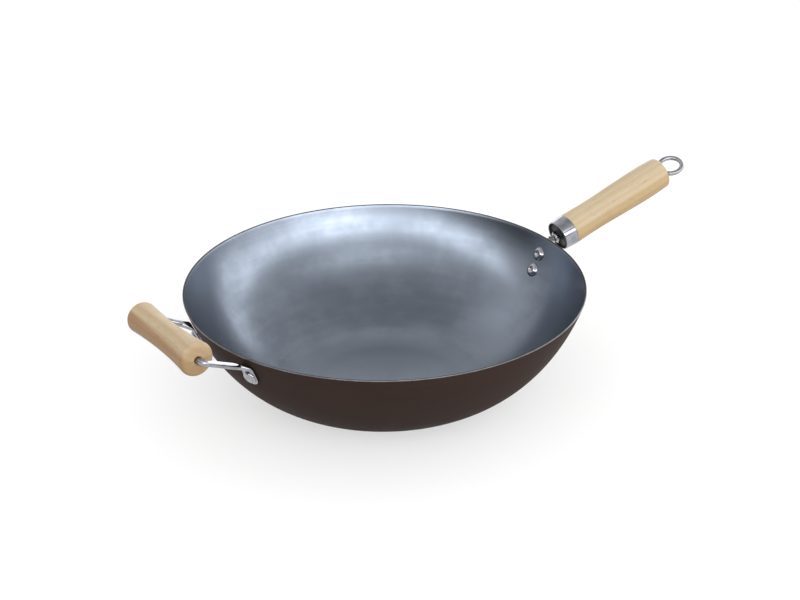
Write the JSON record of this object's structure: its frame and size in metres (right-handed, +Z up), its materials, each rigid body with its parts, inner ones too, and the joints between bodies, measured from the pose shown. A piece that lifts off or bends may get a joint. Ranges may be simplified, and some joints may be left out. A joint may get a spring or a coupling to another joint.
{
  "type": "wok",
  "caption": "Flat-based spun steel wok with a turned wooden handle on a riveted strap, a hanging ring, and a wooden helper roll that turns on a riveted wire bail.",
  "frame": {"origin": "centre of the flat base's underside, on the bowl's axis", "axes": "+Z up along the bowl's axis, +X towards the main handle, helper roll on -X"},
  "size_m": [0.5667, 0.3556, 0.1424],
  "materials": {
    "bowl_steel": "spun satin steel inside, matte dark brown outside",
    "plain_steel": "bright drawn steel",
    "chrome_plate": "polished plate",
    "dark_steel": "dark oxide",
    "turned_wood": "sanded pale beech, lightly oiled"
  },
  "bodies": {
    "pan": {"bowl": "bowl_steel", "handle_bracket": "plain_steel", "main_rivet_upper": "chrome_plate", "main_rivet_lower": "chrome_plate", "tang_stud": "plain_steel", "jam_nut": "plain_steel", "ferrule_washer": "dark_steel", "ferrule": "chrome_plate", "main_grip": "turned_wood", "hang_loop": "chrome_plate", "helper_bail": "chrome_plate", "helper_rivet_near": "chrome_plate", "helper_rivet_far": "chrome_plate"},
    "helper_roll": {"helper_grip": "turned_wood"}
  },
  "joints": [
    {"name": "helper_roll_turn", "type": "hinge", "parent": "pan", "child": "helper_roll", "pos_m": [-0.2157, 0, 0.1088], "axis": [0, 1, 0], "continuous": true}
  ]
}
